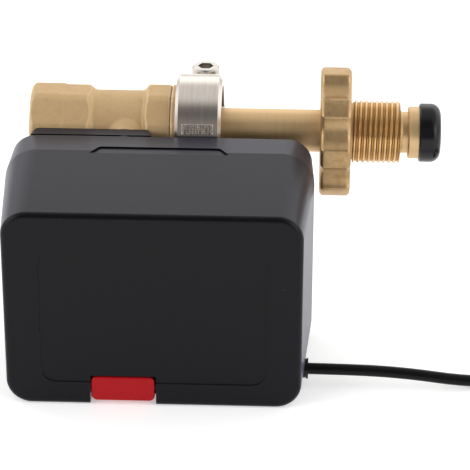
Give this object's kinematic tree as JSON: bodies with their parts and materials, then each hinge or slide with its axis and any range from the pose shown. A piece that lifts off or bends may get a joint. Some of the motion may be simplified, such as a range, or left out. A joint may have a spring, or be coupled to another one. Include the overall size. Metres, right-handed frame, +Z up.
{
  "type": "motorized ball valve",
  "caption": "Motor-driven quarter-turn ball valve: geared drive box, brass valve body held by a split clamp, hand-wheel connector and supply cable.",
  "frame": {"origin": "centre of the valve's inlet mouth", "axes": "+X along the flow towards the connector's nose, -Y towards the front of the drive housing, +Z up"},
  "size_m": [0.2359, 0.1426, 0.0921],
  "materials": {
    "housing_plastic": "fine spark-eroded texture, matte black",
    "latch_plastic": "semi-gloss red",
    "forged_brass": "blasted forging, dull",
    "turned_brass": "bright turned",
    "plated_steel": "nickel plated, bright",
    "zinc_steel": "zinc plated",
    "gear_steel": "hobbed steel",
    "ball_chrome": "polished, plated",
    "seat_ptfe": "smooth white",
    "bronze": "sintered",
    "black_rubber": "soft satin",
    "board_green": "lacquered laminate",
    "part_black": "moulded",
    "spring_steel": "drawn wire"
  },
  "bodies": {
    "base": {"front_housing": "housing_plastic", "rear_housing": "housing_plastic", "housing_seal": "black_rubber", "housing_screws": "zinc_steel", "gear_plate": "zinc_steel", "plate_screws": "zinc_steel", "idler_axle": "gear_steel", "gear_motor": "gear_steel", "motor_screws": "zinc_steel", "output_bush": "bronze", "limit_switches": "part_black", "circuit_board": "board_green", "board_parts": "part_black", "board_screws": "zinc_steel", "latch_spring": "spring_steel", "cable_grommet": "black_rubber", "power_cable": "black_rubber", "cable_coil": "black_rubber", "dc_plug": "black_rubber", "valve_body": "forged_brass", "valve_end_cap": "forged_brass", "seat_rings": "seat_ptfe", "stem_seals": "seat_ptfe", "gland_nut": "turned_brass", "pol_nipple": "turned_brass", "nose_seal": "black_rubber", "clamp_band": "plated_steel", "clamp_nut": "zinc_steel", "clamp_foot_screws": "zinc_steel"},
    "valve_drive": {"valve_ball": "ball_chrome", "valve_stem": "turned_brass", "output_shaft": "gear_steel", "sector_gear": "gear_steel", "switch_cam": "seat_ptfe"},
    "idler": {"idler_gear": "gear_steel"},
    "motor_rotor": {"motor_pinion": "gear_steel"},
    "connector_nut": {"pol_nut": "turned_brass"},
    "latch": {"release_latch": "latch_plastic"},
    "clamp_bolt": {"clamp_screw": "zinc_steel"}
  },
  "joints": [
    {"name": "valve_turn", "type": "hinge", "parent": "base", "child": "valve_drive", "pos_m": [0.034, 0, 0], "axis": [0, -1, 0], "range_deg": [0, 90]},
    {"name": "idler_turn", "type": "hinge", "parent": "base", "child": "idler", "pos_m": [0.034, -0.03, -0.032], "axis": [0, -1, 0], "range_deg": [-390.5, 0.5]},
    {"name": "rotor_turn", "type": "hinge", "parent": "base", "child": "motor_rotor", "pos_m": [0.05645, -0.034, -0.03596], "axis": [0, -1, 0], "range_deg": [-0.5, 1463]},
    {"name": "nut_turn", "type": "hinge", "parent": "base", "child": "connector_nut", "pos_m": [0.1156, 0, 0], "axis": [1, 0, 0], "continuous": true},
    {"name": "latch_slide", "type": "slide", "parent": "base", "child": "latch", "axis": [0, 1, 0], "range_m": [0, 0.0025], "stiffness_N_per_m": 300, "springref_m": -0.002, "deforming": ["latch_spring"]},
    {"name": "clamp_screw_turn", "type": "hinge", "parent": "base", "child": "clamp_bolt", "pos_m": [0.06025, 0.0275, 0], "axis": [0, 0, 1], "continuous": true}
  ],
  "couplings": [
    {"joint": "idler_turn", "follows": "valve_turn", "ratio": -4.3333},
    {"joint": "rotor_turn", "follows": "valve_turn", "ratio": 16.25}
  ]
}
